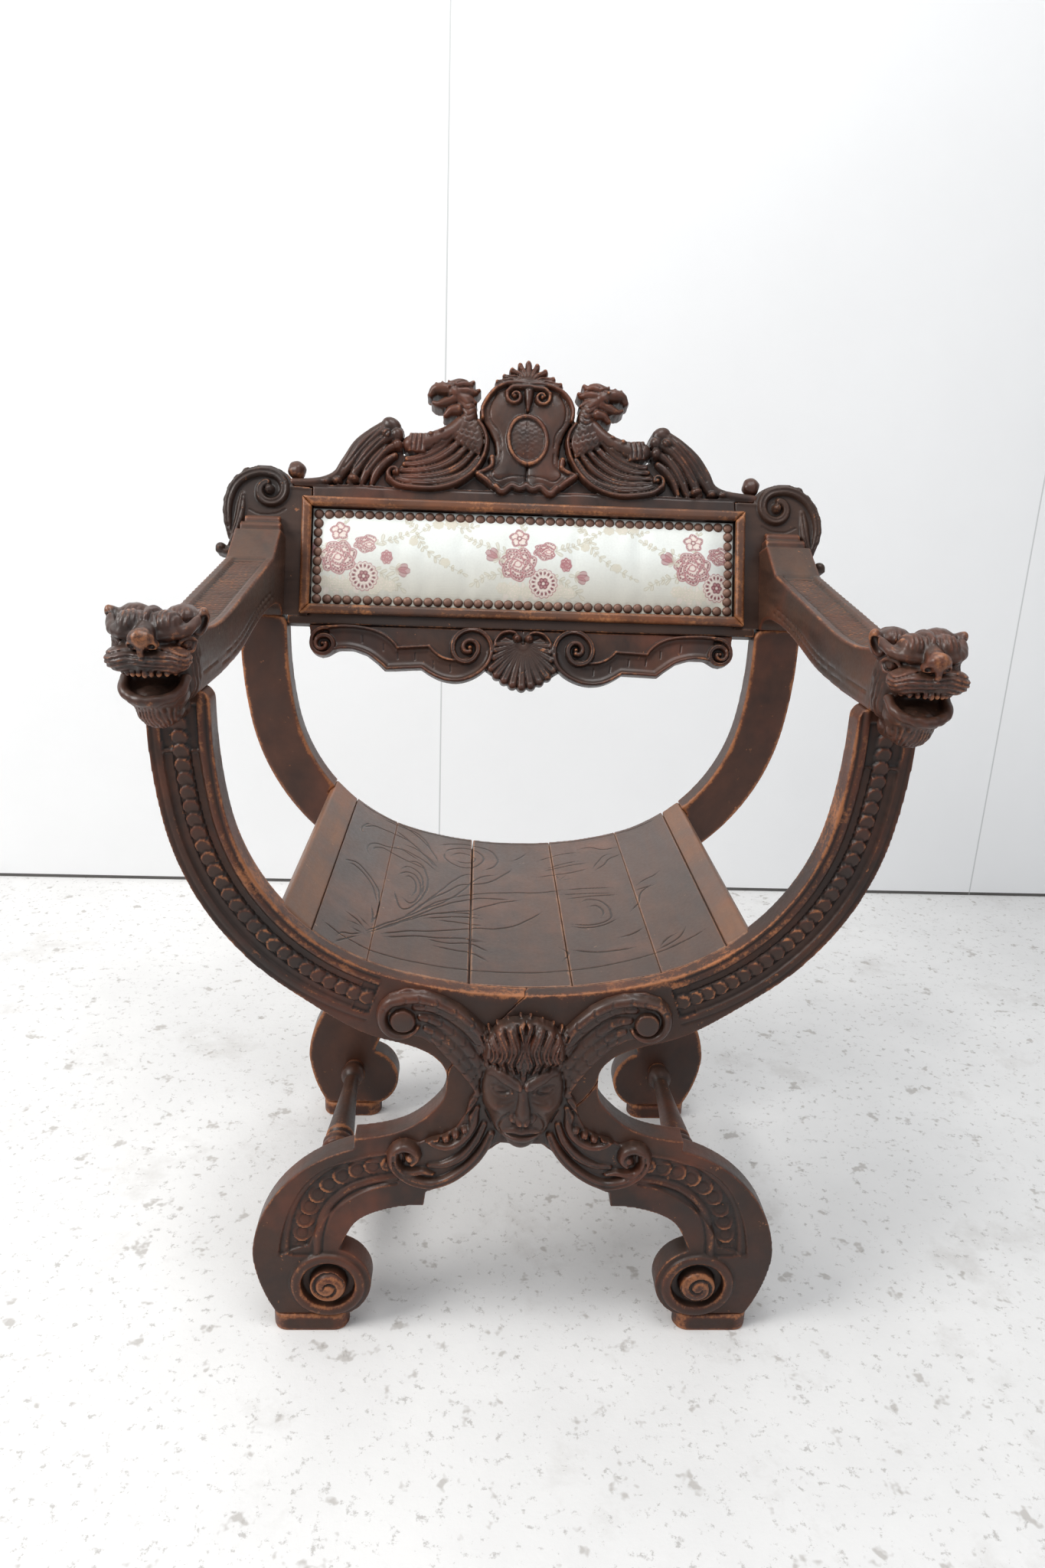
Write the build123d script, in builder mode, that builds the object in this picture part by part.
from build123d import *
from math import cos, degrees, radians, sin
import os

# A carved armchair of the X-frame kind. +X is the sitter's left seen from the front, -Y is the
# front, +Z is up, in millimetres. The origin is on the floor, under the middle of the whole chair.

# ---------------------------------------------------------------- driving dimensions
# The two frames
frame_spacing = 386.0           # front face of the front frame to front face of the rear frame
front_thickness = 26.0
rear_thickness = 32.0
band_width = 58.0               # width of the curved bands and the posts
front_post_top = 714.0
rear_post_top = 720.0
post_corner_radius = 13.0

# The seat hollow is an arch of three tangent arcs, upside down
hollow_bottom = 414.0
bottom_arc_radius = 500.0
bottom_arc_angle = 15.0
corner_arc_radius = 215.0
corner_arc_angle = 80.0
side_arc_radius = 500.0

# The crossing and the legs
band_end_angle = 35.0           # where the band's outer edge turns in towards the waist
waist_half_width = 77.0
waist_height = 318.0
crotch_height = 241.0
leg_step_x = 171.0              # the step where the leg's outer edge starts
leg_step_height = 233.0
leg_step_depth = 12.0
leg_outer_x = 281.0
leg_outer_height = 98.0
leg_inner_step_x = 97.0
leg_inner_step_height = 180.0
leg_inner_step_depth = 16.5
foot_centre_x = 201.0
foot_centre_height = 61.0
foot_radius = 46.0
foot_toe_x = 257.0
pad_height = 20.0
pad_half_length = 41.0
pad_centre_x = 221.0
pad_overhang = 3.0              # how far a pad stands out of the frame's faces

# Carved channel with its raised strip of coins on the front frame
channel_depth = 3.0
channel_width = 33.0
coin_strip_width = 15.0
channel_top_angle = 86.5
channel_end_angle = 22.0
volute_relief = 4.0
volute_groove = 5.0
volute_edge = 6.0               # of plain rim outside the volute's ring
volute_band = 11.0
volute_eye_radius = 19.0

# Foot stretchers
stretcher_x = 217.0
stretcher_height = 80.0
stretcher_ball_radius = 17.0
stretcher_neck_radius = 10.0
stretcher_ring_radius = 20.0
stretcher_tenon_radius = 8.0
stretcher_tenon_length = 15.0

# Seat
board_thickness = 12.0
board_rebate = 8.0
board_joints = [-39.5, -23.0, -6.5, 5.4, 16.7, 35.3]    # degrees round the hollow
seat_end_left = -49.5
seat_end_right = 42.5
board_gap = 0.3
board_end_gap = 0.3             # at the front ends of the boards
shrinkage_crack = 1.6
cracked_joint = board_joints[2] # the one that has opened

# Arms
arm_width = 55.0
arm_rear_rise = 73.0            # of the arm's top in front of its bracket, over the rear post
arm_dip = 30.0                  # of the arm's lowest top, under that
arm_overhang = 10.0             # of the arm's front end past the front frame
arm_channel_depth = 2.5
arm_border = 8.0
arm_flute_width = 3.0
arm_flute_depth = 1.5
arm_flute_gaps = (8.0, 15.0)    # of the flutes above the arm's lower edge
bracket_depth = 34.0
bracket_foot = 20.0             # of its steps over the arm's top
bracket_gap = 7.4               # between its top and the ear
bracket_steps = 3
bracket_inset = 3.0
arm_tenon_length = 26.0
arm_tenon_width = 10.0
arm_tenon_height = 14.0
arm_end_width = 30.0            # tenon of the arm into the stile
arm_end_height = 34.0
arm_end_depth = 12.0
head_length = 75.0
head_rise = 32.0                # of its crown over the arm's lowest top
head_drop = 75.0                # of its beard under that
ear_to_ear = 84.0
muzzle_width = 64.0
mouth_drop = 36.0               # of the mouth's middle, likewise
mouth_opening = 22.0
brow_radius = 11.0
eye_radius = 6.0
nose_radius = 9.0
ear_length = 24.0
neck_dowel_radius = 7.0
neck_dowel_length = 18.0

# Back: a frame that leans back, with its own axes (x, up the slope, out of the front)
back_lean = 20.0
back_set_back = 6.0             # of its front behind the rear frame's front face, at the post top
back_thickness = 24.0
opening_half_width = 266.5
opening_low = 14.5
opening_high = 137.5
stile_outer_x = 357.0
stile_shoulder = 162.0
ear_x = 320.0
ear_height = 156.0
ear_radius = 31.0
ear_edge = 4.0                  # of flat wood round its ring
ear_relief = 5.0
bud_radius = 7.5
ball_radius = 11.0
rail_tongue = 14.0
rail_tongue_thickness = 9.0
rail_tongue_depth = 4.0         # of the tongues behind the front of the back
foot_tenon_length = 30.0        # tenons of the stiles down into the rear posts
foot_tenon_width = 10.0
foot_tenon_height = 16.0
crest_shoulder_x = 290.0
crest_plateau = 174.0
crest_height = 330.0            # top of the crest's fan of petals
petal_length = 19.0
petal_reach = 37.0
crest_relief = 5.0
rib_relief = 2.5                # of feathers and leaf ribs over their ground
lower_rail_drop = 22.0
apron_top = -10.0
apron_thickness = 12.0
apron_scroll_width = 37.0       # of the rolled end of the apron

# Panel in the back
moulding_width = 12.0
moulding_height = 7.0
panel_rebate = 8.0
panel_board_thickness = 8.0
panel_clearance = 0.3
pad_flange_width = 15.0
pad_flange_thickness = 10.0
pad_crown = 6.0
nail_radius = 5.5
nail_height = 3.0
nails_across = 42
nails_down = 10
nail_inset = 7.5                # of the nails' centres from the opening's edge
nail_sides = 8
fit_clearance = 0.15            # round every tenon and dowel

# Applied carving over the crossing
carving_relief = 6.0
mask_half_width = 40.0
mask_low = 240.0
mask_high = 398.0
mask_depth = 30.0
wing_eye_x = 123.0
wing_eye_height = 388.0
wing_eye_radius = 15.0
scroll_eye_x = 122.0
scroll_eye_height = 226.0
scroll_eye_radius = 17.0

os.makedirs("parts", exist_ok=True)

# ---------------------------------------------------------------- derived places
lean_sin = sin(radians(back_lean))
lean_cos = cos(radians(back_lean))
front_reach = arm_overhang + head_length
rear_reach = back_set_back + crest_height * lean_sin + back_thickness * lean_cos
front_face = front_reach - (front_reach + frame_spacing + rear_reach) / 2
rear_face = front_face + frame_spacing
front_back = front_face + front_thickness


def hollow(angle, grow=0.0):
    """Point (x, z) on the hollow's edge, at an angle from straight down, moved outwards by grow."""
    turn = abs(angle)
    x = 0.0
    z = hollow_bottom + bottom_arc_radius
    radius = bottom_arc_radius
    if turn > bottom_arc_angle:
        x += (radius - corner_arc_radius) * sin(radians(bottom_arc_angle))
        z -= (radius - corner_arc_radius) * cos(radians(bottom_arc_angle))
        radius = corner_arc_radius
    if turn > corner_arc_angle:
        x += (radius - side_arc_radius) * sin(radians(corner_arc_angle))
        z -= (radius - side_arc_radius) * cos(radians(corner_arc_angle))
        radius = side_arc_radius
    x += (radius + grow) * sin(radians(turn))
    z -= (radius + grow) * cos(radians(turn))
    return (x if angle >= 0 else -x, z)


def hollow_arcs(start, end, grow=0.0):
    """Draw the hollow's edge between two angles as its tangent arcs."""
    marks = [-corner_arc_angle, -bottom_arc_angle, bottom_arc_angle, corner_arc_angle]
    inside = [mark for mark in marks if min(start, end) < mark < max(start, end)]
    stops = [start] + sorted(inside, reverse=end < start) + [end]
    for first, last in zip(stops, stops[1:]):
        middle = (first + last) / 2
        ThreePointArc(hollow(first, grow), hollow(middle, grow), hollow(last, grow))


post_inner_x, post_foot_height = hollow(90)
post_outer_x = post_inner_x + band_width
arm_x = (post_inner_x + post_outer_x) / 2


def foot_point(angle):
    """Point on the foot volute's rim, at an angle from +X."""
    return (
        foot_centre_x + foot_radius * cos(radians(angle)),
        foot_centre_height + foot_radius * sin(radians(angle)),
    )


# The foot's underside meets the volute a little behind the volute's top
volute_start = 105.0


def leg_outline(post_top):
    """Outline of the S-leg with its foot on +X and its post on -X, seen from the front."""
    with BuildSketch() as outline:
        with BuildLine():
            outer_corner = (-post_outer_x, post_top)
            Line(outer_corner, hollow(-90, band_width))
            hollow_arcs(-90, -band_end_angle, band_width)
            Spline(
                hollow(-band_end_angle, band_width),
                (-waist_half_width - 68, waist_height + 46),
                (-waist_half_width - 24, waist_height + 32),
                (-waist_half_width, waist_height),
                tangents=[
                    (cos(radians(band_end_angle)), -sin(radians(band_end_angle))),
                    (0, -1),
                ],
            )
            Spline(
                (-waist_half_width, waist_height),
                (-waist_half_width / 4, crotch_height + 22),
                (waist_half_width / 2.5, crotch_height - 7),
                (waist_half_width * 0.8, leg_inner_step_height + 21),
                (leg_inner_step_x, leg_inner_step_height),
                tangents=[(0.4, -1), (1, -0.35)],
            )
            step_foot = (leg_inner_step_x + 2, leg_inner_step_height - leg_inner_step_depth)
            Line((leg_inner_step_x, leg_inner_step_height), step_foot)
            Spline(
                step_foot,
                (step_foot[0] + 38, step_foot[1] - 5),
                (step_foot[0] + 70, step_foot[1] - 21),
                foot_point(volute_start),
                tangents=[(1, 0), (0.5, -1)],
            )
            volute_end = (foot_centre_x - foot_radius / 2.2, pad_height)
            ThreePointArc(foot_point(volute_start), foot_point(175), volute_end)
            Line(volute_end, (foot_toe_x, pad_height))
            leg_outer = (leg_outer_x, leg_outer_height)
            ThreePointArc((foot_toe_x, pad_height), (leg_outer_x - 8, leg_outer_height - 42), leg_outer)
            leg_step = (leg_step_x, leg_step_height)
            leg_knee = (
                (leg_outer_x + leg_step_x) / 2 + 15,
                (leg_outer_height + leg_step_height) / 2 + 26,
            )
            ThreePointArc(leg_outer, leg_knee, leg_step)
            Line(leg_step, (leg_step_x, leg_step_height + leg_step_depth))
            Spline(
                (leg_step_x, leg_step_height + leg_step_depth),
                (leg_step_x - 31, leg_step_height + leg_step_depth + 5),
                (waist_half_width + 31, waist_height - 54),
                (waist_half_width + 10, waist_height - 34),
                (waist_half_width, waist_height),
                tangents=[(-1, 0.1), (0, 1)],
            )
            Spline(
                (waist_half_width, waist_height),
                (waist_half_width * 0.8, waist_height + 27),
                (waist_half_width * 0.23, hollow_bottom - 20),
                hollow(0),
                tangents=[(0, 1), (-1, 1)],
            )
            hollow_arcs(0, -90)
            corner_foot = (-post_inner_x, post_top - post_corner_radius)
            Line(hollow(-90), corner_foot)
            RadiusArc(
                corner_foot,
                (-post_inner_x - post_corner_radius, post_top),
                -post_corner_radius,
            )
            Line((-post_inner_x - post_corner_radius, post_top), outer_corner)
        make_face()
    return outline.sketch


def seat_strip(start, end, thickness):
    """Sketch of the seat's thickness between two angles round the hollow."""
    with BuildSketch() as strip:
        with BuildLine():
            hollow_arcs(start, end)
            Line(hollow(end), hollow(end, thickness))
            hollow_arcs(end, start, thickness)
            Line(hollow(start, thickness), hollow(start))
        make_face()
    return strip.sketch


def band_strip(start, end, width):
    """Sketch of a strip along the middle of the curved band, up the post at the far end."""
    near = (band_width - width) / 2
    far = (band_width + width) / 2
    with BuildSketch() as strip:
        with BuildLine():
            hollow_arcs(start, end, near)
            Line(hollow(end, near), hollow(end, far))
            hollow_arcs(end, start, far)
            Line(hollow(start, far), hollow(start, near))
        make_face()
    return strip.sketch


def on_face(y):
    """Plane facing the front at a depth y, with local axes x and z."""
    return Plane((0, y, 0), x_dir=(1, 0, 0), z_dir=(0, -1, 0))


def mirrored(sketch):
    return mirror(sketch, about=Plane.YZ)


def s_leg(outline, front_y, thickness, rebate_y, rebate, side):
    """One S-leg, halved at the crossing. side is +1 with its foot on +X."""
    own = outline if side > 0 else mirrored(outline)
    other = mirrored(outline) if side > 0 else outline
    # The leg with its foot on -X keeps the front half of the crossing
    halving_y = front_y if side > 0 else front_y + thickness / 2
    with BuildPart() as leg:
        with BuildSketch(on_face(front_y)):
            add(own)
        extrude(amount=-thickness)
        with BuildSketch(on_face(halving_y)):
            add(other)
        extrude(amount=-thickness / 2, mode=Mode.SUBTRACT)
        with BuildSketch(on_face(rebate_y)):
            add(seat_strip(seat_end_left, seat_end_right, board_thickness))
        extrude(amount=-rebate, mode=Mode.SUBTRACT)
    return leg.part


# ---------------------------------------------------------------- front frame
def leg_panel():
    """Carved channel of the leg below the knee, with its strip of coins left standing."""
    with BuildSketch() as panel:
        with BuildLine():
            panel_start = (leg_step_x - 46, leg_step_height - 27)
            panel_end = (foot_centre_x + 52, foot_centre_height + 36)
            Spline(
                panel_start,
                ((leg_outer_x + leg_step_x) / 2 - 5, leg_step_height - 43),
                (leg_outer_x - 42, (leg_outer_height + leg_step_height) / 2 - 8),
                panel_end,
            )
            inner_end = (foot_centre_x + 20, foot_centre_height + foot_radius + 3)
            Line(panel_end, inner_end)
            Spline(
                inner_end,
                (foot_centre_x + 2, foot_centre_height + foot_radius + 38),
                (foot_centre_x - 32, foot_centre_height + foot_radius + 68),
                (leg_step_x - 50, leg_step_height - 38),
            )
            Line((leg_step_x - 50, leg_step_height - 38), panel_start)
        make_face()
    return panel.sketch


for side, name in ((-1, "left"), (1, "right")):
    channel = band_strip(-channel_end_angle, -channel_top_angle, channel_width)
    coins = band_strip(-channel_end_angle, -channel_top_angle, coin_strip_width)
    panel = leg_panel()
    leg_hollow = channel - coins + panel
    if side < 0:
        leg_hollow = mirrored(leg_hollow)
    with BuildPart() as front_leg:
        add(s_leg(
            leg_outline(front_post_top),
            front_face,
            front_thickness,
            front_back - board_rebate,
            board_rebate,
            side,
        ))
        with BuildSketch(on_face(front_face)):
            add(leg_hollow)
        extrude(amount=-channel_depth, mode=Mode.SUBTRACT)
        # Foot volute: a raised ring round a sunk groove and a raised eye
        with BuildSketch(on_face(front_face)):
            with Locations((side * foot_centre_x, foot_centre_height)):
                Circle(foot_radius - volute_edge)
        extrude(amount=volute_relief)
        with BuildSketch(on_face(front_face - volute_relief)):
            with Locations((side * foot_centre_x, foot_centre_height)):
                Circle(foot_radius - volute_edge - volute_band)
                Circle(volute_eye_radius, mode=Mode.SUBTRACT)
        extrude(amount=-volute_relief - volute_groove, mode=Mode.SUBTRACT)
        # Blind socket for the stretcher's tenon
        with BuildSketch(on_face(front_back)):
            with Locations((side * stretcher_x, stretcher_height)):
                Circle(stretcher_tenon_radius + fit_clearance)
        extrude(amount=stretcher_tenon_length + fit_clearance, mode=Mode.SUBTRACT)
        # Tenon up into the arm
        with BuildSketch(Plane.XY.offset(front_post_top)):
            with Locations((-side * arm_x, front_face + front_thickness / 2)):
                Rectangle(arm_tenon_length, arm_tenon_width)
        extrude(amount=arm_tenon_height)
    front_leg.part.label = f"front_s_leg_{name}"
    export_step(front_leg.part, f"parts/front_s_leg_{name}.step")


# ---------------------------------------------------------------- rear frame
back_y = rear_face + back_set_back
stile_depth = back_thickness / lean_cos
stile_middle_y = back_y + stile_depth / 2

for side, name in ((-1, "left"), (1, "right")):
    with BuildPart() as rear_leg:
        add(s_leg(
            leg_outline(rear_post_top),
            rear_face,
            rear_thickness,
            rear_face,
            rear_thickness,
            side,
        ))
        with BuildSketch(on_face(rear_face)):
            with Locations((side * stretcher_x, stretcher_height)):
                Circle(stretcher_tenon_radius + fit_clearance)
        extrude(amount=-stretcher_tenon_length - fit_clearance, mode=Mode.SUBTRACT)
        # Socket for the foot of the back's stile
        with BuildSketch(Plane.XY.offset(rear_post_top)):
            with Locations((-side * arm_x, stile_middle_y)):
                Rectangle(foot_tenon_length + 2 * fit_clearance, foot_tenon_width + 2 * fit_clearance)
        extrude(amount=-foot_tenon_height - fit_clearance, mode=Mode.SUBTRACT)
    rear_leg.part.label = f"rear_s_leg_{name}"
    export_step(rear_leg.part, f"parts/rear_s_leg_{name}.step")

# ---------------------------------------------------------------- foot pads
for side, name in ((-1, "left"), (1, "right")):
    for face, depth, end in (
        (front_face, front_thickness, "front"),
        (rear_face, rear_thickness, "rear"),
    ):
        with BuildPart() as foot_pad:
            with BuildSketch():
                with Locations((side * pad_centre_x, face + depth / 2)):
                    RectangleRounded(2 * pad_half_length, depth + 2 * pad_overhang, 4)
            extrude(amount=pad_height)
            chamfer(foot_pad.faces().sort_by(Axis.Z)[-1].edges(), 2)
        foot_pad.part.label = f"foot_pad_{end}_{name}"
        export_step(foot_pad.part, f"parts/foot_pad_{end}_{name}.step")

# ---------------------------------------------------------------- foot stretchers
stretcher_length = rear_face - front_back
stretcher_middle_y = (rear_face + front_back) / 2


def stretcher_half():
    """Half of a turned stretcher's section, from its middle to one end, along +X."""
    half = stretcher_length / 2
    ball = stretcher_ball_radius
    ball_centre = half - 3 - ball
    shoulder = (ball ** 2 - stretcher_neck_radius ** 2) ** 0.5
    ring = stretcher_ring_radius
    with BuildSketch() as section:
        with BuildLine():
            Line((0, 0), (0, ring - 3))
            ThreePointArc((0, ring - 3), (5.5, ring), (11, ring - 3))
            Line((11, ring - 3), (11, ring - 6))
            Line((11, ring - 6), (17, ring - 7))
            Line((17, ring - 7), (ball_centre - shoulder - 12, stretcher_neck_radius))
            Line(
                (ball_centre - shoulder - 12, stretcher_neck_radius),
                (ball_centre - shoulder, stretcher_neck_radius),
            )
            ThreePointArc(
                (ball_centre - shoulder, stretcher_neck_radius),
                (ball_centre, ball),
                (ball_centre + shoulder, stretcher_neck_radius),
            )
            Line(
                (ball_centre + shoulder, stretcher_neck_radius),
                (ball_centre + shoulder, stretcher_neck_radius + 3),
            )
            Line(
                (ball_centre + shoulder, stretcher_neck_radius + 3),
                (half, stretcher_neck_radius + 3),
            )
            Line((half, stretcher_neck_radius + 3), (half, stretcher_tenon_radius))
            Line((half, stretcher_tenon_radius), (half + stretcher_tenon_length, stretcher_tenon_radius))
            Line(
                (half + stretcher_tenon_length, stretcher_tenon_radius),
                (half + stretcher_tenon_length, 0),
            )
            Line((half + stretcher_tenon_length, 0), (0, 0))
        make_face()
    return section.sketch


for side, name in ((-1, "left"), (1, "right")):
    half_section = stretcher_half()
    stretcher_plane = Plane(
        (side * stretcher_x, stretcher_middle_y, stretcher_height), x_dir=(0, 1, 0), z_dir=(1, 0, 0)
    )
    with BuildPart() as stretcher:
        with BuildSketch(stretcher_plane):
            add(half_section)
        revolve(axis=Axis((side * stretcher_x, stretcher_middle_y, stretcher_height), (0, 1, 0)))
        mirror(about=Plane.XZ.offset(-stretcher_middle_y))
    stretcher.part.label = f"foot_stretcher_{name}"
    export_step(stretcher.part, f"parts/foot_stretcher_{name}.step")

# ---------------------------------------------------------------- seat
seat_marks = [seat_end_left] + board_joints + [seat_end_right]
seat_names = ["seat_end_rail_left"]
seat_names += [f"seat_board_{number}" for number in range(1, 6)]
seat_names += ["seat_end_rail_right"]


def gap_turn(mark):
    """Half of the gap between two boards at a joint, as an angle."""
    if mark in (seat_end_left, seat_end_right):
        return 0.0
    gap = shrinkage_crack if mark == cracked_joint else board_gap
    return degrees(gap / 2 / bottom_arc_radius)


for name, start, end in zip(seat_names, seat_marks, seat_marks[1:]):
    strip = seat_strip(start + gap_turn(start), end - gap_turn(end), board_thickness)
    with BuildPart() as board:
        with BuildSketch(on_face(front_back - board_rebate + board_end_gap)):
            add(strip)
        extrude(amount=-(rear_face + rear_thickness - front_back + board_rebate - board_end_gap))
    board.part.label = name
    export_step(board.part, f"parts/{name}.step")


# ---------------------------------------------------------------- arms
arm_centre_x = arm_x + 3
arm_front_y = front_face - arm_overhang
back_front = Plane(
    (0, back_y, rear_post_top),
    x_dir=(1, 0, 0),
    z_dir=(0, -lean_cos, lean_sin),
)


def along(share):
    """Depth at a share of the way from the front frame to the rear one."""
    return front_face + share * frame_spacing


def rib(points, width):
    """Outline of a bar along a smooth line through points."""
    with BuildSketch() as bar:
        with BuildLine():
            Spline(*points)
        trace(line_width=width)
    return bar.sketch


def on_back(up, out=0.0):
    """Depth and height of a point of the back, up its slope and out of its front."""
    return (
        back_y + up * lean_sin - out * lean_cos,
        rear_post_top + up * lean_cos + out * lean_sin,
    )


arm_rear_height = rear_post_top + arm_rear_rise
arm_low_height = arm_rear_height - arm_dip
arm_end_v = (arm_rear_rise + bracket_foot) / lean_cos
bracket_top = ear_height - ear_radius + ear_edge - bracket_gap
head_top = arm_low_height + head_rise
head_low = arm_low_height - head_drop
mouth_height = arm_low_height - mouth_drop


def arm_top(drop):
    """The top of the arm, from its front end to the foot of the bracket, lowered by drop."""
    Spline(
        (arm_front_y, arm_low_height + 10 - drop),
        (along(0.137), arm_low_height - drop),
        (along(0.448), arm_low_height + 9.5 - drop),
        (along(0.707), arm_low_height + 22 - drop),
        (along(0.885), arm_rear_height + 1 - drop),
    )


def arm_side():
    """Side outline of the arm, in depth and height."""
    with BuildSketch() as outline:
        with BuildLine():
            arm_top(0)
            foot_y, foot_z = on_back(arm_end_v - 2, bracket_depth)
            Line((along(0.885), arm_rear_height + 1), (foot_y, foot_z))
            Line((foot_y, foot_z), on_back(arm_end_v))
            Line(on_back(arm_end_v), on_back(0))
            Line(on_back(0), (rear_face, rear_post_top))
            Spline(
                (rear_face, rear_post_top),
                (along(0.975), rear_post_top + 12),
                (along(0.93), rear_post_top + 18),
                (along(0.86), rear_post_top + 20.5),
                (along(0.75), rear_post_top + 19.5),
                (along(0.604), rear_post_top + 13),
                (along(0.396), front_post_top + 5),
                (along(0.27), front_post_top + 1.5),
                (along(0.19), front_post_top),
            )
            Line((along(0.19), front_post_top), (arm_front_y, front_post_top))
            Line((arm_front_y, front_post_top), (arm_front_y, arm_low_height + 10))
        make_face()
    return outline.sketch


def arm_field():
    """The part of the arm's side outline that the sunk field on its top takes away."""
    with BuildSketch() as field:
        with BuildLine():
            arm_top(arm_channel_depth)
            Line(
                (along(0.885), arm_rear_height + 1 - arm_channel_depth),
                (along(0.885), arm_rear_height + bracket_foot),
            )
            Line((along(0.885), arm_rear_height + bracket_foot), (arm_front_y, arm_rear_height + bracket_foot))
            Line(
                (arm_front_y, arm_rear_height + bracket_foot),
                (arm_front_y, arm_low_height + 10 - arm_channel_depth),
            )
        make_face()
        with Locations((arm_front_y, arm_low_height)):
            Rectangle(2 * arm_border, 120, mode=Mode.SUBTRACT)
    return field.sketch


def arm_flute(gap):
    """Line of a flute at a height over the arm's lower edge."""
    return [
        (arm_front_y + 12, front_post_top + gap),
        (along(0.27), front_post_top + 1.5 + gap),
        (along(0.396), front_post_top + 5 + gap),
        (along(0.604), rear_post_top + 13 + gap),
        (along(0.75), rear_post_top + 19.5 + gap),
        (along(0.86), rear_post_top + 22 + gap),
    ]


for side, name in ((-1, "left"), (1, "right")):
    outline = arm_side()
    field = arm_field()
    arm_plane = Plane((side * arm_centre_x, 0, 0), x_dir=(0, 1, 0), z_dir=(1, 0, 0))
    with BuildPart() as arm:
        with BuildSketch(arm_plane):
            add(outline)
        extrude(amount=arm_width / 2, both=True)
        with BuildSketch(arm_plane):
            add(field)
        extrude(amount=arm_width / 2 - arm_border, both=True, mode=Mode.SUBTRACT)
        # Stepped bracket up the front of the stile
        for step in range(1, bracket_steps):
            low = arm_end_v - 4
            high = arm_end_v + (bracket_top - arm_end_v) * step / (bracket_steps - 1)
            depth = bracket_depth * (bracket_steps - step) / bracket_steps
            with BuildSketch(arm_plane):
                Polygon(
                    on_back(low),
                    on_back(low, depth),
                    on_back(high - 4, depth),
                    on_back(high, depth - 5),
                    on_back(high),
                    align=None,
                )
            extrude(amount=arm_width / 2 - step * bracket_inset, both=True)
        # Flutes along both sides, over the lower edge
        for gap in arm_flute_gaps:
            flute = rib(arm_flute(gap), arm_flute_width)
            for across in (-1, 1):
                with BuildSketch(arm_plane.offset(across * (arm_width / 2 - arm_flute_depth))):
                    add(flute)
                extrude(amount=across * 2 * arm_flute_depth, mode=Mode.SUBTRACT)
        # Tenon into the stile
        with BuildSketch(back_front):
            with Locations((side * arm_centre_x, arm_end_v / 2)):
                Rectangle(arm_end_width, arm_end_height)
        extrude(amount=-arm_end_depth)
        # Socket over the front post's tenon, and the neck's dowel hole
        with BuildSketch(Plane.XY.offset(front_post_top)):
            with Locations((side * arm_x, front_face + front_thickness / 2)):
                Rectangle(arm_tenon_length + 2 * fit_clearance, arm_tenon_width + 2 * fit_clearance)
        extrude(amount=arm_tenon_height + fit_clearance, mode=Mode.SUBTRACT)
        with BuildSketch(on_face(arm_front_y)):
            with Locations((side * arm_centre_x, (front_post_top + arm_low_height) / 2 + 8)):
                Circle(neck_dowel_radius + fit_clearance)
        extrude(amount=-neck_dowel_length - fit_clearance, mode=Mode.SUBTRACT)
    arm.part.label = f"arm_{name}"
    export_step(arm.part, f"parts/arm_{name}.step")

# ---------------------------------------------------------------- arm heads
head_front_y = arm_front_y - head_length


def head_side():
    """Side outline of a head, in depth and height: crown, nose, open mouth, chin and beard."""
    with BuildSketch() as outline:
        with BuildLine():
            Spline(
                (arm_front_y, arm_low_height + 14),
                (arm_front_y - 10, head_top - 5),
                (arm_front_y - 24, head_top),
                (arm_front_y - 42, head_top - 8),
                (head_front_y + 21, head_top - 20),
            )
            Spline(
                (head_front_y + 21, head_top - 20),
                (head_front_y + 6, head_top - 13),
                (head_front_y, head_top - 22),
                (head_front_y + 4, head_top - 34),
            )
            Line((head_front_y + 4, head_top - 34), (head_front_y + 6, head_top - 56))
            Line((head_front_y + 6, head_top - 56), (head_front_y + 8, head_low + 18))
            Spline(
                (head_front_y + 8, head_low + 18),
                (head_front_y + 15, head_low + 6),
                (head_front_y + 27, head_low),
            )
            Line((head_front_y + 27, head_low), (front_face, head_low + 6))
            Line((front_face, head_low + 6), (front_face, front_post_top))
            Line((front_face, front_post_top), (arm_front_y, front_post_top))
            Line((arm_front_y, front_post_top), (arm_front_y, arm_low_height + 14))
        make_face()
        with Locations((head_front_y + 18, mouth_height)):
            SlotOverall(2 * 30, mouth_opening, mode=Mode.SUBTRACT)
    return outline.sketch


def head_plan():
    """Outline of a head seen from above, about its own middle."""
    with BuildSketch() as outline:
        with BuildLine():
            Spline(
                (0, head_front_y),
                (muzzle_width / 2 - 7, head_front_y + 5),
                (muzzle_width / 2, head_front_y + 16),
                (muzzle_width / 2 + 2, head_front_y + 32),
                (ear_to_ear / 2, arm_front_y - 20),
                (ear_to_ear / 2 - 5, arm_front_y - 6),
                (arm_width / 2 + 4, arm_front_y),
                tangents=[(1, 0), (-0.5, 1)],
            )
            Line((arm_width / 2 + 4, arm_front_y), (arm_width / 2, front_face))
            Line((arm_width / 2, front_face), (0, front_face))
            Line((0, front_face), (0, head_front_y))
        make_face()
        mirror(about=Plane.YZ)
    return outline.sketch


def head_front():
    """Outline of a head seen from the front, about its own middle."""
    with BuildSketch() as outline:
        with BuildLine():
            Spline(
                (0, head_top - 1),
                (22, head_top),
                (35, head_top - 10),
                (ear_to_ear / 2, head_top - 24),
                (36, head_top - 42),
                (muzzle_width / 2 + 2, head_top - 58),
                (muzzle_width / 2, head_low + 32),
                (27, head_low + 12),
                (12, head_low + 1),
                (0, head_low),
            )
            Line((0, head_low), (0, head_top - 1))
        make_face()
        mirror(about=Plane.YZ)
    return outline.sketch


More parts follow.
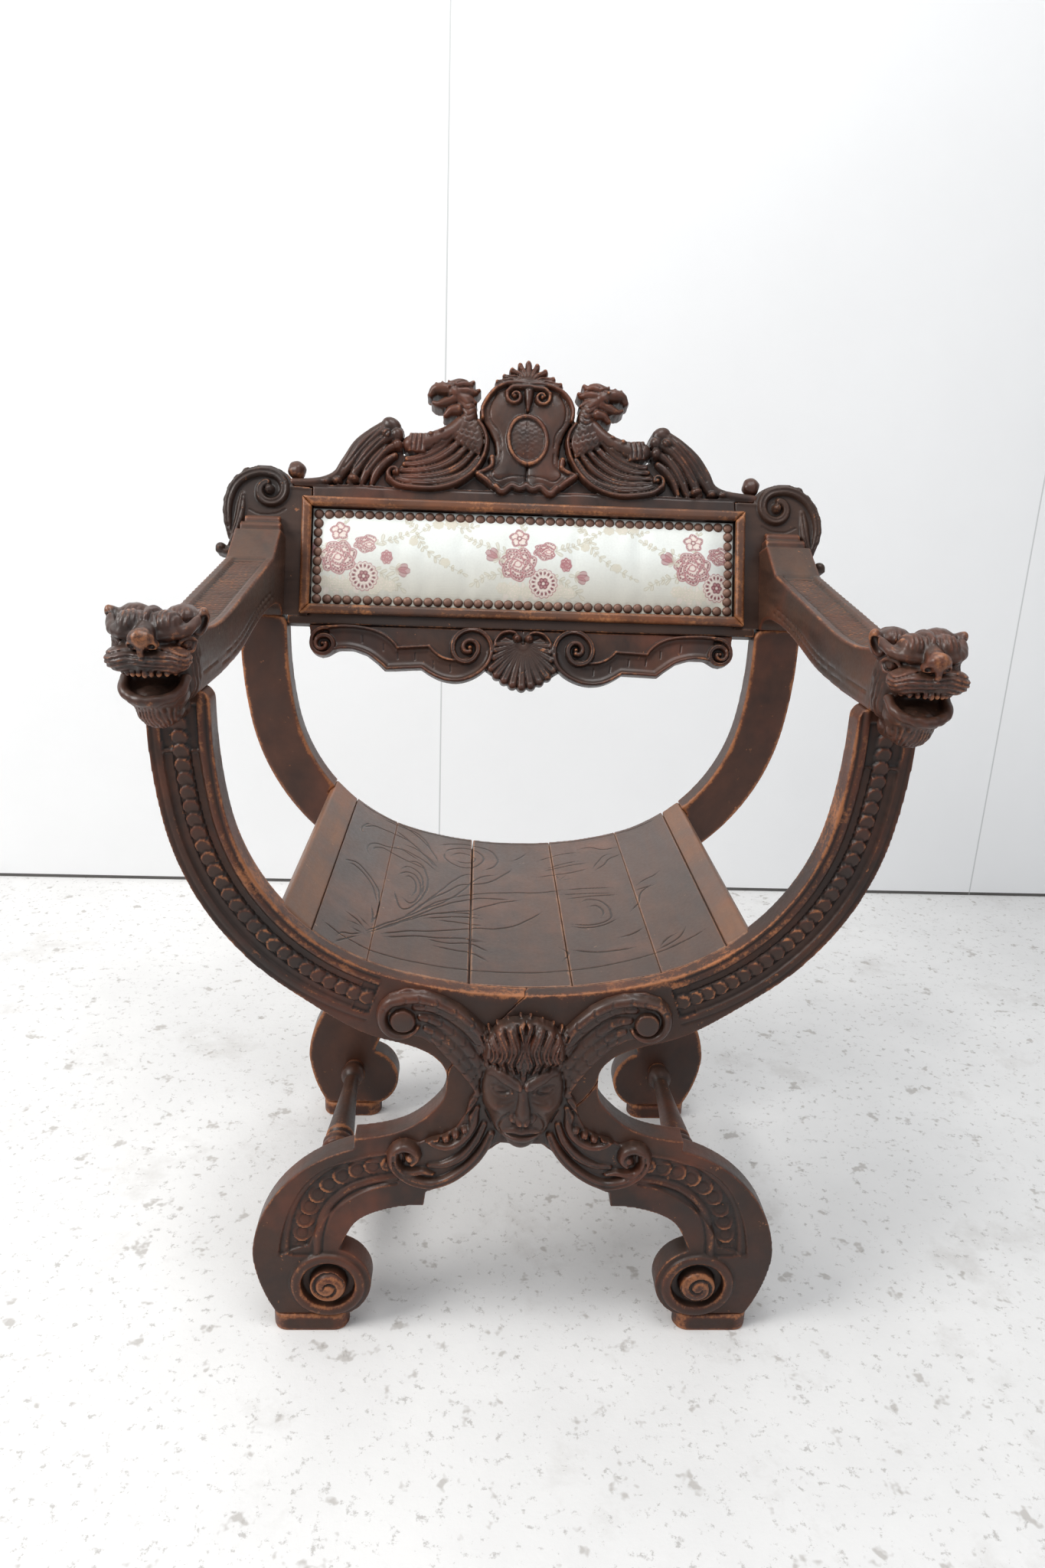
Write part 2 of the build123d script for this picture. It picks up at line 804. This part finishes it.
for side, name in ((-1, "left"), (1, "right")):
    outline = head_side()
    plan = head_plan()
    head_plane = Plane((side * arm_centre_x, 0, 0), x_dir=(0, 1, 0), z_dir=(1, 0, 0))
    with BuildPart() as head:
        with BuildSketch(head_plane):
            add(outline)
        extrude(amount=ear_to_ear, both=True)
        with BuildSketch(Plane((side * arm_centre_x, 0, head_low - 1))):
            add(plan)
        extrude(amount=head_top - head_low + 2, mode=Mode.INTERSECT)
        with BuildSketch(Plane((side * arm_centre_x, front_face, 0), x_dir=(1, 0, 0), z_dir=(0, -1, 0))):
            add(head_front())
        extrude(amount=arm_overhang + head_length, mode=Mode.INTERSECT)
        # Brows, eyes, nose and swept ears
        for across in (-1, 1):
            middle = side * arm_centre_x
            with Locations((middle + across * 15, head_front_y + 28, head_top - brow_radius)):
                Sphere(brow_radius)
            with Locations((middle + across * 25, head_front_y + 27, head_top - 24)):
                Sphere(eye_radius)
            ear_axis = Plane(
                (middle + across * 27, arm_front_y - 26, head_top - 22),
                z_dir=(across * 0.4, 0.85, 0.25),
            )
            with Locations(ear_axis):
                Cone(
                    11, 2, ear_length,
                    align=(Align.CENTER, Align.CENTER, Align.MIN),
                )
        with Locations((side * arm_centre_x, head_front_y + nose_radius, head_top - 23)):
            Sphere(nose_radius)
        with BuildSketch(on_face(arm_front_y)):
            with Locations((side * arm_centre_x, (front_post_top + arm_low_height) / 2 + 8)):
                Circle(neck_dowel_radius)
        extrude(amount=-neck_dowel_length)
    head.part.label = f"arm_head_{name}"
    export_step(head.part, f"parts/arm_head_{name}.step")


# ---------------------------------------------------------------- back frame
back_rear = back_front.offset(-back_thickness)
opening_height = opening_high - opening_low
opening_middle = (opening_high + opening_low) / 2
board_rebate_front = back_front.offset(panel_rebate - back_thickness)
tongue_front = back_front.offset(-rail_tongue_depth)


def stile_outline():
    """Stile of the +X side with its ear, from a little under the post's top."""
    ear_top = ear_height + ear_radius
    with BuildSketch() as outline:
        with BuildLine():
            Line((opening_half_width, -12), (opening_half_width, stile_shoulder))
            Line((opening_half_width, stile_shoulder), (crest_shoulder_x, stile_shoulder))
            ThreePointArc(
                (crest_shoulder_x, stile_shoulder),
                (ear_x - 18, ear_top - 6),
                (ear_x + 4, ear_top),
            )
            Spline(
                (ear_x + 4, ear_top),
                (ear_x + 31, ear_top - 6),
                (ear_x + 47, ear_top - 24),
                (ear_x + 55, ear_top - 52),
                (ear_x + 53, ear_top - 74),
                (ear_x + 46, ear_top - 97),
            )
            Line((ear_x + 46, ear_top - 97), (stile_outer_x, ear_top - 114))
            Line((stile_outer_x, ear_top - 114), (stile_outer_x, -12))
            Line((stile_outer_x, -12), (opening_half_width, -12))
        make_face()
        # Bud on its stalk at the ear's lower end
        with Locations((ear_x + 57, ear_top - 105.5)):
            Circle(bud_radius)
        with Locations((ear_x + 44, ear_top - 110)):
            Rectangle(20, 9)
    return outline.sketch


def ear_volute():
    """Raised spiral of the ear, a band of one and a half turns round an eye."""
    band = ear_radius * 0.24
    outer = ear_radius - ear_edge - band / 2
    turns = [
        (outer * (1 - 0.62 * step / 9), radians(75 - 60 * step))
        for step in range(10)
    ]
    with BuildSketch() as volute:
        add(rib([
            (ear_x + reach * cos(turn), ear_height + reach * sin(turn))
            for reach, turn in turns
        ], band))
        with Locations((ear_x, ear_height)):
            Circle(ear_radius * 0.2)
    return volute.sketch


for side, name in ((-1, "left"), (1, "right")):
    outline = stile_outline()
    volute = ear_volute()
    if side < 0:
        outline = mirrored(outline)
        volute = mirrored(volute)
    with BuildPart() as stile:
        with BuildSketch(back_front):
            add(outline)
        extrude(amount=-back_thickness)
        split(bisect_by=Plane.XY.offset(rear_post_top), keep=Keep.TOP)
        with BuildSketch(back_front):
            add(volute)
        extrude(amount=ear_relief)
        # Rebate for the panel's board
        with BuildSketch(board_rebate_front):
            with Locations((0, opening_middle)):
                Rectangle(2 * (opening_half_width + panel_rebate), opening_height + 2 * panel_rebate)
        extrude(amount=-panel_rebate, mode=Mode.SUBTRACT)
        # Mortises for the tongues of the two rails
        with BuildSketch(tongue_front.offset(fit_clearance)):
            for tongue_middle in (opening_low - 4.5, stile_shoulder - 12):
                with Locations((0, tongue_middle)):
                    Rectangle(
                        2 * (opening_half_width + rail_tongue + fit_clearance),
                        (7 if tongue_middle < opening_low else 16) + 2 * fit_clearance,
                    )
        extrude(amount=-rail_tongue_thickness - 2 * fit_clearance, mode=Mode.SUBTRACT)
        # Mortise for the arm
        with BuildSketch(back_front):
            with Locations((side * arm_centre_x, arm_end_v / 2)):
                Rectangle(arm_end_width + 2 * fit_clearance, arm_end_height + 2 * fit_clearance)
        extrude(amount=-arm_end_depth - fit_clearance, mode=Mode.SUBTRACT)
        # Tenon down into the rear post
        with BuildSketch(Plane.XY.offset(rear_post_top)):
            with Locations((side * arm_x, stile_middle_y)):
                Rectangle(foot_tenon_length, foot_tenon_width)
        extrude(amount=-foot_tenon_height)
    stile.part.label = f"back_stile_{name}"
    export_step(stile.part, f"parts/back_stile_{name}.step")


# ---------------------------------------------------------------- crest rail
def crest_foliage():
    """Leaf and ground of the +X half of the crest, up to the griffin's back."""
    with BuildSketch() as foliage:
        with BuildLine():
            Line((0, stile_shoulder), (crest_shoulder_x, stile_shoulder))
            Line((crest_shoulder_x, stile_shoulder), (crest_shoulder_x, crest_plateau))
            Line((crest_shoulder_x, crest_plateau), (crest_shoulder_x - 30, crest_plateau))
            Spline(
                (crest_shoulder_x - 30, crest_plateau),
                (236, crest_plateau + 15),
                (214, crest_plateau + 49),
                (186, crest_plateau + 71),
                (169, crest_plateau + 80),
            )
            Spline(
                (169, crest_plateau + 80),
                (155, crest_plateau + 66),
                (157, crest_plateau + 46),
                (158, crest_plateau + 33),
            )
            Line((158, crest_plateau + 33), (148, crest_plateau + 36))
            Line((148, crest_plateau + 36), (148, crest_plateau + 59))
            Line((148, crest_plateau + 59), (122, crest_plateau + 59))
            Spline(
                (122, crest_plateau + 59),
                (104, crest_plateau + 58),
                (90, crest_plateau + 69),
                (58, crest_plateau + 84),
                (0, crest_plateau + 84),
            )
            Line((0, crest_plateau + 84), (0, stile_shoulder))
        make_face()
    return foliage.sketch


def griffin_head():
    """Neck, open beak and crest of the +X griffin, looking outwards."""
    with BuildSketch() as head:
        with BuildLine():
            Polyline(
                (50, crest_plateau + 80),
                (66, crest_plateau + 92),
                (74, crest_plateau + 106),
                (57, crest_plateau + 115),
                (74, crest_plateau + 123),
                (91, crest_plateau + 127),
                (113, crest_plateau + 116),
                (130, crest_plateau + 107),
                (130, crest_plateau + 99),
                (116, crest_plateau + 93),
                (107, crest_plateau + 91),
                (112, crest_plateau + 84),
                (105, crest_plateau + 78),
                (88, crest_plateau + 68),
                (50, crest_plateau + 80),
            )
        make_face()
    return head.sketch


def crest_centre():
    """Cartouche with a fan of petals over it, the +X half and a little more."""
    with BuildSketch() as centre:
        with Locations((0, crest_plateau + 80)):
            Ellipse(57, 46)
        for petal in range(4):
            turn = 22 * petal
            reach = petal_reach - 2.5 * petal
            root = crest_height - petal_length - petal_reach * 0.55
            with Locations((
                reach * sin(radians(turn)) * 0.9,
                root + reach * cos(radians(turn)) * 0.55,
            )):
                Ellipse(8, petal_length, rotation=-turn)
    return centre.sketch


def griffin_wing():
    """Raised wing of the +X griffin."""
    with BuildSketch() as wing:
        with BuildLine():
            Spline(
                (62, crest_plateau + 78),
                (51, crest_plateau + 51),
                (56, crest_plateau + 31),
                (70, crest_plateau + 11),
                (90, crest_plateau - 4),
                (120, crest_plateau - 10),
                (160, crest_plateau - 8),
            )
            Spline(
                (160, crest_plateau - 8),
                (177, crest_plateau + 2),
                (174, crest_plateau + 17),
                (160, crest_plateau + 20),
                (125, crest_plateau + 20),
                (105, crest_plateau + 38),
                (88, crest_plateau + 68),
                (62, crest_plateau + 78),
            )
        make_face()
    return wing.sketch


def griffin_feathers():
    """Feathers of the +X griffin's wing, a rib each."""
    with BuildSketch() as feathers:
        for step in range(4):
            rise = 9 * step
            add(rib([
                (66 + 0.9 * rise, crest_plateau + 34 + 0.9 * rise),
                (80 + 0.8 * rise, crest_plateau + 13 + rise),
                (100 + 0.6 * rise, crest_plateau + 1 + rise),
                (128 + 0.3 * rise, crest_plateau - 3 + 0.9 * rise),
                (156 - 0.1 * rise, crest_plateau + 0.75 * rise),
            ], 5))
    return feathers.sketch


def crest_leaf():
    """Ribs of the +X acanthus leaf."""
    with BuildSketch() as leaf:
        for step in range(3):
            inward = 15 * step
            add(rib([
                (233 - inward, crest_plateau + 2),
                (222 - inward, crest_plateau + 18 - 3 * step),
                (207 - 0.9 * inward, crest_plateau + 40 - 8 * step),
                (190 - 0.6 * inward, crest_plateau + 58 - 11 * step),
                (175 - 0.2 * inward, crest_plateau + 69 - 13 * step),
            ], 8))
    return leaf.sketch


def griffin_body():
    """Raised neck, breast and paw of the +X griffin."""
    with BuildSketch() as body:
        add(rib([
            (80, crest_plateau + 104),
            (78, crest_plateau + 88),
            (88, crest_plateau + 70),
            (106, crest_plateau + 56),
            (124, crest_plateau + 48),
        ], 16))
        with Locations((135, crest_plateau + 47)):
            RectangleRounded(24, 20, 4)
    return body.sketch


def cartouche_curls():
    """The +X curl under the palmette."""
    with BuildSketch() as curls:
        with Locations((17, crest_plateau + 109)):
            Circle(10)
            Circle(5.5, mode=Mode.SUBTRACT)
            Circle(2.5)
    return curls.sketch


def both_sides(sketch):
    return sketch + mirrored(sketch)


crest_outline = both_sides(crest_foliage() + griffin_head() + crest_centre())
crest_raised = both_sides(griffin_wing())
crest_ribs = both_sides(griffin_feathers())
crest_low_ribs = both_sides(crest_leaf() + griffin_body() + cartouche_curls())
with BuildSketch() as boss_sketch:
    with Locations((0, crest_plateau + 55)):
        Ellipse(24, 30)
crest_boss = boss_sketch.sketch

with BuildPart() as crest:
    with BuildSketch(back_front):
        add(crest_outline)
        with Locations((0, (opening_high + stile_shoulder) / 2)):
            Rectangle(2 * opening_half_width, stile_shoulder - opening_high)
    extrude(amount=-back_thickness)
    with BuildSketch(back_front):
        add(crest_raised)
    extrude(amount=crest_relief)
    with BuildSketch(back_front):
        add(crest_ribs)
    extrude(amount=crest_relief + rib_relief)
    with BuildSketch(back_front):
        add(crest_low_ribs)
    extrude(amount=crest_relief)
    with BuildSketch(back_front):
        add(crest_boss)
    extrude(amount=2 * crest_relief)
    with BuildSketch(board_rebate_front):
        with Locations((0, opening_middle)):
            Rectangle(2 * (opening_half_width + panel_rebate), opening_height + 2 * panel_rebate)
    extrude(amount=-panel_rebate, mode=Mode.SUBTRACT)
    with BuildSketch(tongue_front):
        with Locations((0, stile_shoulder - 12)):
            Rectangle(2 * (opening_half_width + rail_tongue), 16)
    extrude(amount=-rail_tongue_thickness)
    # Turned balls on the shoulders
    with Locations(
        back_front.offset(-back_thickness / 2).location
        * Location((crest_shoulder_x - 2, crest_plateau + ball_radius - 1, 0)),
        back_front.offset(-back_thickness / 2).location
        * Location((2 - crest_shoulder_x, crest_plateau + ball_radius - 1, 0)),
    ):
        Sphere(ball_radius)
crest.part.label = "crest_rail"
export_step(crest.part, "parts/crest_rail.step")

# ---------------------------------------------------------------- lower rail and apron
rail_wing_x = post_inner_x - 0.3
with BuildPart() as lower_rail:
    # The ends under the stiles are cut level with the posts' tops
    with BuildSketch(back_front):
        with Locations((0, 0)):
            Rectangle(2 * rail_wing_x, 24)
    extrude(amount=-back_thickness)
    split(bisect_by=Plane.XY.offset(rear_post_top), keep=Keep.BOTTOM)
    with BuildSketch(back_front):
        with Locations((0, (apron_top + opening_low) / 2)):
            Rectangle(2 * opening_half_width, opening_low - apron_top)
    extrude(amount=-back_thickness)
    with BuildSketch(back_front):
        with Locations((0, apron_top - 30)):
            Rectangle(2 * rail_wing_x + 2, 60)
    extrude(amount=-back_thickness, mode=Mode.SUBTRACT)
    with BuildSketch(back_front.offset(-apron_thickness)):
        with Locations((0, (apron_top - lower_rail_drop) / 2)):
            Rectangle(2 * opening_half_width, lower_rail_drop + apron_top)
    extrude(amount=apron_thickness - back_thickness)
    with BuildSketch(board_rebate_front):
        with Locations((0, opening_middle)):
            Rectangle(2 * (opening_half_width + panel_rebate), opening_height + 2 * panel_rebate)
    extrude(amount=-panel_rebate, mode=Mode.SUBTRACT)
    with BuildSketch(tongue_front):
        with Locations((0, opening_low - 4.5)):
            Rectangle(2 * (opening_half_width + rail_tongue), 7)
    extrude(amount=-rail_tongue_thickness)
lower_rail.part.label = "back_lower_rail"
export_step(lower_rail.part, "parts/back_lower_rail.step")


def apron_outline():
    """The +X half of the apron, hanging from the lower rail."""
    with BuildSketch() as apron:
        with BuildLine():
            Line((0, apron_top), (opening_half_width, apron_top))
            Line((opening_half_width, apron_top), (opening_half_width - 4, apron_top - 26))
            Spline(
                (opening_half_width - 4, apron_top - 26),
                (opening_half_width - 18.5, apron_top - 1.1 * apron_scroll_width),
                (opening_half_width - 37.5, apron_top - 31),
                (205, apron_top - 31),
                (175, apron_top - 46),
                (165, apron_top - 55),
                (130, apron_top - 53),
                (86, apron_top - 69),
                (50, apron_top - 58),
                (33, apron_top - 64),
                (14, apron_top - 75),
                (0, apron_top - 78),
            )
            Line((0, apron_top - 78), (0, apron_top))
        make_face()
    return apron.sketch


def apron_scrolls():
    """Raised scrolls and shell of the +X half of the apron."""
    with BuildSketch() as scrolls:
        with Locations((opening_half_width - 20, apron_top - 24)):
            Circle(14)
        with Locations((62, apron_top - 26)):
            Circle(24)
            Circle(15, mode=Mode.SUBTRACT)
            Circle(7)
        with Locations((0, apron_top - 30)):
            Ellipse(26, 28)
    return scrolls.sketch


def apron_shell():
    """Ribs of the fan over the middle of the apron."""
    with BuildSketch() as shell:
        for step in range(7):
            turn = radians(-90 + 26 * (step - 3))
            with BuildLine():
                Line(
                    (7 * cos(turn), apron_top - 12 + 7 * sin(turn)),
                    (24 * cos(turn), apron_top - 20 + 34 * sin(turn)),
                )
            trace(line_width=5)
    return shell.sketch


apron_face = both_sides(apron_outline())
apron_raised = both_sides(apron_scrolls())
apron_ribs = apron_shell()
with BuildPart() as apron:
    with BuildSketch(back_front):
        add(apron_face)
    extrude(amount=-apron_thickness)
    with BuildSketch(back_front):
        add(apron_raised)
    extrude(amount=crest_relief)
    with BuildSketch(back_front):
        add(apron_ribs)
    extrude(amount=crest_relief + rib_relief)
apron.part.label = "back_apron"
export_step(apron.part, "parts/back_apron.step")


# ---------------------------------------------------------------- panel in the back
def moulding_strip(length, middle, upright):
    """One of the four mitred strips round the opening, in two steps of height."""
    with BuildSketch() as strip:
        with BuildLine():
            Polyline(
                (-length / 2, 0),
                (length / 2, 0),
                (length / 2 + moulding_width, moulding_width),
                (-length / 2 - moulding_width, moulding_width),
                (-length / 2, 0),
            )
        make_face()
    return Location(middle, (0, 0, upright)) * strip.sketch


mouldings = (
    ("top", 2 * opening_half_width, (0, opening_high), 0),
    ("bottom", 2 * opening_half_width, (0, opening_low), 180),
    ("left", opening_height, (-opening_half_width, opening_middle), 90),
    ("right", opening_height, (opening_half_width, opening_middle), -90),
)
for name, length, middle, turn in mouldings:
    strip = moulding_strip(length, middle, turn)
    with BuildPart() as moulding:
        with BuildSketch(back_front):
            add(strip)
        extrude(amount=moulding_height)
        chamfer(moulding.faces().sort_by(Axis((0, 0, 0), back_front.z_dir))[-1].edges(), 2.4)
    moulding.part.label = f"panel_moulding_{name}"
    export_step(moulding.part, f"parts/panel_moulding_{name}.step")

with BuildPart() as panel_board:
    with BuildSketch(board_rebate_front):
        with Locations((0, opening_middle)):
            Rectangle(
                2 * (opening_half_width + panel_rebate - panel_clearance),
                opening_height + 2 * (panel_rebate - panel_clearance),
            )
    extrude(amount=-panel_board_thickness)
panel_board.part.label = "back_panel_board"
export_step(panel_board.part, "parts/back_panel_board.step")

pad_width = 2 * (opening_half_width - panel_clearance)
pad_height_up = opening_height - 2 * panel_clearance
flange_front = board_rebate_front.offset(pad_flange_thickness)
with BuildPart() as upholstery:
    with BuildSketch(board_rebate_front):
        with Locations((0, opening_middle)):
            Rectangle(pad_width, pad_height_up)
    extrude(amount=pad_flange_thickness)
    with BuildSketch(flange_front):
        with Locations((0, opening_middle)):
            Rectangle(pad_width - 2 * pad_flange_width, pad_height_up - 2 * pad_flange_width)
    extrude(amount=pad_crown, taper=60)
upholstery.part.label = "back_upholstery"
export_step(upholstery.part, "parts/back_upholstery.step")

nail_span_across = 2 * (opening_half_width - nail_inset)
nail_span_up = opening_height - 2 * nail_inset
with BuildPart() as nails:
    with BuildSketch(flange_front):
        for row in (-1, 1):
            for number in range(nails_across):
                x = nail_span_across * (number / (nails_across - 1) - 0.5)
                with Locations((x, opening_middle + row * nail_span_up / 2)):
                    RegularPolygon(nail_radius, nail_sides)
        for column in (-1, 1):
            for number in range(1, nails_down - 1):
                up = nail_span_up * (number / (nails_down - 1) - 0.5)
                with Locations((column * nail_span_across / 2, opening_middle + up)):
                    RegularPolygon(nail_radius, nail_sides)
    extrude(amount=nail_height, taper=40)
nails.part.label = "upholstery_nails"
export_step(nails.part, "parts/upholstery_nails.step")


# ---------------------------------------------------------------- carving over the crossing
def carving_wing():
    """The +X wing, from the mask's temple to its scrolled tip."""
    tip_x = wing_eye_x + wing_eye_radius * 0.8
    with BuildSketch() as wing:
        with BuildLine():
            Line((0, mask_high - 60), (0, mask_high - 20))
            Line((0, mask_high - 20), (36, mask_high - 23))
            Spline(
                (36, mask_high - 23),
                (70, wing_eye_height + 25),
                (100, wing_eye_height + 26),
                (tip_x, wing_eye_height + 9),
            )
            Line((tip_x, wing_eye_height + 9), (wing_eye_x - 4, wing_eye_height - wing_eye_radius))
            Spline(
                (wing_eye_x - 4, wing_eye_height - wing_eye_radius),
                (wing_eye_x - 36, wing_eye_height - 32),
                (62, waist_height + 8),
                (45, waist_height - 20),
            )
            Line((45, waist_height - 20), (0, waist_height - 20))
            Line((0, waist_height - 20), (0, mask_high - 60))
        make_face()
        with Locations((wing_eye_x, wing_eye_height)):
            Circle(wing_eye_radius)
    return wing.sketch


def carving_leaf():
    """The +X leaf scroll under the mask."""
    with BuildSketch() as leaf:
        with BuildLine():
            Line((0, mask_low + 2), (0, waist_height))
            Line((0, waist_height), (48, waist_height - 10))
            Spline(
                (48, waist_height - 10),
                (66, scroll_eye_height + 34),
                (95, scroll_eye_height + 25),
                (scroll_eye_x, scroll_eye_height + scroll_eye_radius),
            )
            Line(
                (scroll_eye_x, scroll_eye_height + scroll_eye_radius),
                (scroll_eye_x - 8, scroll_eye_height - scroll_eye_radius * 0.8),
            )
            Line((scroll_eye_x - 8, scroll_eye_height - scroll_eye_radius * 0.8), (96, 186))
            Spline(
                (96, 186),
                (68, 199),
                (40, mask_low - 8),
                (0, mask_low + 2),
            )
        make_face()
        with Locations((scroll_eye_x, scroll_eye_height)):
            Circle(scroll_eye_radius)
    return leaf.sketch


def carving_feathers():
    """Feathers of the +X wing and ribs of the leaf under it."""
    with BuildSketch() as feathers:
        for step in range(4):
            add(rib([
                (wing_eye_x - 14 - 7 * step, wing_eye_height + 20 - 9 * step),
                (wing_eye_x - 32 - 5 * step, wing_eye_height + 15 - 12 * step),
                (wing_eye_x - 53 - 2 * step, wing_eye_height - 2 - 12 * step),
                (wing_eye_x - 70, wing_eye_height - 22 - 10 * step),
            ], 6))
        for step in range(2):
            add(rib([
                (scroll_eye_x - 12, scroll_eye_height - 4 - 12 * step),
                (scroll_eye_x - 36, scroll_eye_height + 8 - 14 * step),
                (scroll_eye_x - 62, scroll_eye_height + 24 - 16 * step),
                (scroll_eye_x - 78, scroll_eye_height + 48 - 18 * step),
            ], 8))
        for x, z, radius in (
            (wing_eye_x, wing_eye_height, wing_eye_radius),
            (scroll_eye_x, scroll_eye_height, scroll_eye_radius),
        ):
            with Locations((x, z)):
                Circle(radius * 0.9)
                Circle(radius * 0.6, mode=Mode.SUBTRACT)
                Circle(radius * 0.3)
    return feathers.sketch


carving_face = both_sides(carving_wing() + carving_leaf())
carving_ribs = both_sides(carving_feathers())
mask_middle = (mask_high + mask_low) / 2
carving_front = on_face(front_face - carving_relief)
with BuildPart() as carving:
    with BuildSketch(on_face(front_face)):
        add(carving_face)
    extrude(amount=carving_relief)
    with BuildSketch(on_face(front_face)):
        add(carving_ribs)
    extrude(amount=carving_relief + rib_relief)
    # The mask's face, swelling out of the ground
    with BuildSketch(carving_front):
        with Locations((0, mask_middle)):
            Ellipse(mask_half_width, (mask_high - mask_low) / 2 - 10)
    with BuildSketch(on_face(front_face - mask_depth * 0.45)):
        with Locations((0, mask_middle)):
            Ellipse(mask_half_width * 0.92, (mask_high - mask_low) / 2 - 15)
    with BuildSketch(on_face(front_face - mask_depth * 0.7)):
        with Locations((0, mask_middle)):
            Ellipse(mask_half_width * 0.6, (mask_high - mask_low) / 2 - 30)
    loft()
    # Nose and brow
    with BuildSketch(on_face(front_face - mask_depth * 0.7)):
        with Locations((0, mask_middle)):
            Ellipse(15, 32)
    with BuildSketch(on_face(front_face - mask_depth)):
        with Locations((0, mask_middle - 10)):
            Ellipse(8, 14)
    loft()
    for across in (-1, 1):
        with Locations(
            (across * 15, front_face - mask_depth * 0.62, mask_middle + 14),
            (across * 17, front_face - mask_depth * 0.55, mask_middle - 16),
        ):
            Sphere(9)
    with BuildSketch(carving_front):
        with Locations((0, mask_middle - 38)):
            Ellipse(13, 5)
    extrude(amount=mask_depth, mode=Mode.SUBTRACT)
    with Locations((0, front_face - mask_depth * 0.4, mask_middle - 50)):
        Sphere(12)
carving.part.label = "front_carving"
export_step(carving.part, "parts/front_carving.step")
